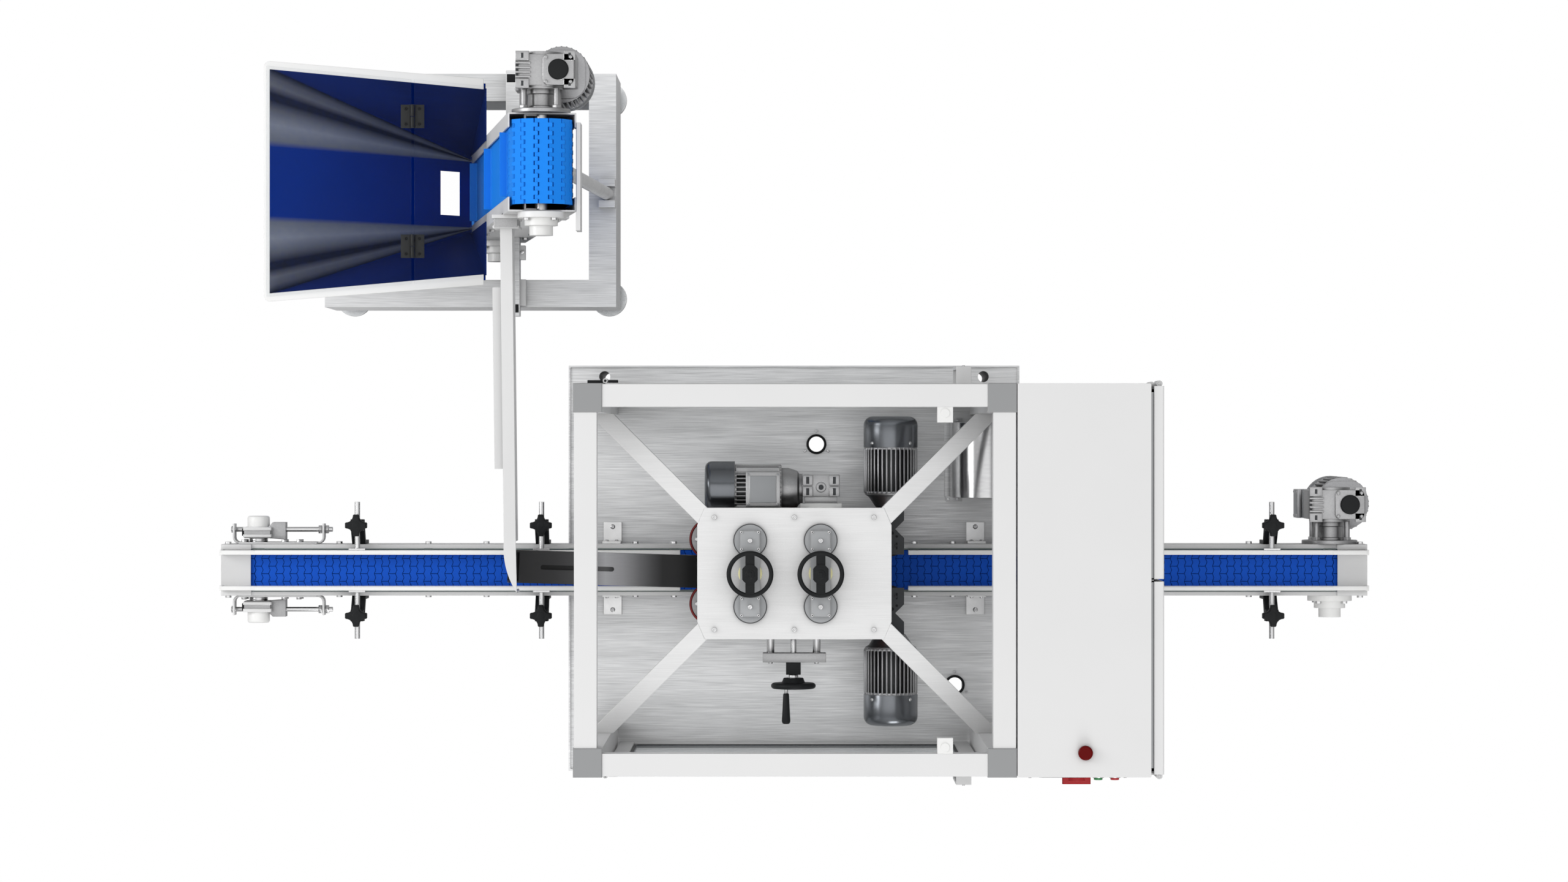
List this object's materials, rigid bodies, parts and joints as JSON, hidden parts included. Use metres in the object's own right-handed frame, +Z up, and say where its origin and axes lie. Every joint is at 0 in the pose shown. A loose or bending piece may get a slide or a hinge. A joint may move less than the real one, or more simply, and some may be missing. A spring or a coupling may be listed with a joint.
{
  "type": "linear capping machine with cap elevator",
  "caption": "In-line capping machine: belt conveyor through a guarded head on a stainless base, with a bucket hopper and belt elevator that feeds caps down a chute.",
  "frame": {"origin": "centre of the whole machine's footprint, on the floor", "axes": "+X along the conveyor towards its drive, +Y towards the cap elevator, +Z up"},
  "size_m": [2.3936, 1.5083, 1.553],
  "materials": {
    "brushed_stainless": "brushed along the length",
    "stainless_tube": "satin",
    "foot_steel": "satin",
    "white_frame": "matt light coat",
    "grey_cap": "matt",
    "machined_grey": "machined",
    "black_plastic": "fine grain",
    "disc_rubber": "matt",
    "motor_grey": "cast and finned",
    "dark_grey": "satin",
    "belt_black": "matt",
    "clear_pane": "clear polycarbonate",
    "white_plastic": "smooth",
    "panel_grey": "matt",
    "signal_red": "smooth",
    "lamp_red": "smooth",
    "belt_blue": "moulded chain plates",
    "belt_bright_blue": "moulded modules",
    "bright_rod": "bright",
    "cast_grey": "cast",
    "polished_sheet": "polished inside",
    "hopper_sheet": "polished, with a blue cast",
    "light_stainless": "fine brushed",
    "dark_polished": "dark and polished"
  },
  "bodies": {
    "root": {"base_tray": "brushed_stainless", "base_frame": "stainless_tube", "levelling_feet": "foot_steel", "frame_posts": "white_frame", "post_caps": "grey_cap", "top_rails": "white_frame", "brace_arms": "light_stainless", "head_plate": "light_stainless", "height_bridges": "machined_grey", "head_carriage": "machined_grey", "hidden_discs": "disc_rubber", "spindle_gearmotor": "motor_grey", "width_adjuster": "machined_grey", "side_units": "dark_grey", "side_belts": "belt_black", "side_motors": "motor_grey", "door_hinges": "black_plastic", "interlock_blocks": "white_plastic", "control_cabinet": "white_frame", "operator_panel": "panel_grey", "beacon": "lamp_red", "cable_duct": "polished_sheet", "conveyor_sides": "white_frame", "conveyor_belt": "belt_blue", "conveyor_bed": "white_plastic", "roller_shafts": "stainless_tube", "end_covers": "grey_cap", "guide_rails": "white_plastic", "guide_brackets": "black_plastic", "guide_rods": "bright_rod", "takeups": "stainless_tube", "shaft_bearings": "white_plastic", "gearboxes": "cast_grey", "gear_motors": "cast_grey", "conveyor_feet": "stainless_tube", "elevator_base": "brushed_stainless", "elevator_sides": "white_frame", "elevator_belt": "belt_bright_blue", "elevator_struts": "brushed_stainless", "guard_plate": "white_frame", "hopper": "hopper_sheet", "lid_fixed": "clear_pane", "cap_outlet": "cast_grey", "cap_chute": "white_frame", "chute_support": "white_frame", "cap_track": "dark_polished"},
    "handwheel_left": {"handwheel_left": "black_plastic"},
    "handwheel_right": {"handwheel_right": "black_plastic"},
    "capping_disc_back": {"capping_disc_back": "disc_rubber"},
    "capping_disc_front": {"capping_disc_front": "disc_rubber"},
    "adjuster_wheel": {"adjuster_wheel": "black_plastic"},
    "front_door": {"front_door": "white_frame", "front_door_pane": "clear_pane"},
    "back_door": {"back_door": "white_frame", "back_door_pane": "clear_pane"},
    "cabinet_door_front": {"cabinet_door_front": "white_frame"},
    "cabinet_door_back": {"cabinet_door_back": "white_frame"},
    "isolator_knob": {"isolator_knob": "signal_red"},
    "lid_leaf": {"lid_leaf": "clear_pane"}
  },
  "joints": [
    {"name": "handwheel_left_turn", "type": "hinge", "parent": "root", "child": "handwheel_left", "pos_m": [-0.10125, -0.32975, 1.183], "axis": [0, 0, 1], "continuous": true},
    {"name": "handwheel_right_turn", "type": "hinge", "parent": "root", "child": "handwheel_right", "pos_m": [0.04045, -0.32975, 1.183], "axis": [0, 0, 1], "continuous": true},
    {"name": "disc_back_turn", "type": "hinge", "parent": "root", "child": "capping_disc_back", "pos_m": [-0.18425, -0.26375, 1], "axis": [0, 0, 1], "continuous": true},
    {"name": "disc_front_turn", "type": "hinge", "parent": "root", "child": "capping_disc_front", "pos_m": [-0.18425, -0.39575, 1], "axis": [0, 0, 1], "continuous": true},
    {"name": "adjuster_turn", "type": "hinge", "parent": "root", "child": "adjuster_wheel", "pos_m": [-0.01425, -0.54375, 1.06], "axis": [0, 1, 0], "continuous": true},
    {"name": "front_door_hinge", "type": "hinge", "parent": "root", "child": "front_door", "pos_m": [-0.38025, -0.71325, 1.1], "axis": [0, 0, -1], "range_deg": [0, 100]},
    {"name": "back_door_hinge", "type": "hinge", "parent": "root", "child": "back_door", "pos_m": [-0.38025, 0.05375, 1.1], "axis": [0, 0, 1], "range_deg": [0, 90]},
    {"name": "cabinet_front_hinge", "type": "hinge", "parent": "root", "child": "cabinet_door_front", "pos_m": [0.68775, -0.70675, 1.395], "axis": [0, 0, -1], "range_deg": [0, 110]},
    {"name": "cabinet_back_hinge", "type": "hinge", "parent": "root", "child": "cabinet_door_back", "pos_m": [0.68775, 0.04725, 1.395], "axis": [0, 0, 1], "range_deg": [0, 110]},
    {"name": "isolator_turn", "type": "hinge", "parent": "root", "child": "isolator_knob", "pos_m": [0.53525, -0.71475, 1.41], "axis": [0, -1, 0], "range_deg": [0, 90]},
    {"name": "lid_hinge", "type": "hinge", "parent": "root", "child": "lid_leaf", "pos_m": [-0.80825, 0.47925, 0.8265], "axis": [0, 1, 0], "range_deg": [0, 100]}
  ],
  "couplings": [
    {"joint": "disc_front_turn", "follows": "disc_back_turn", "ratio": -1}
  ]
}
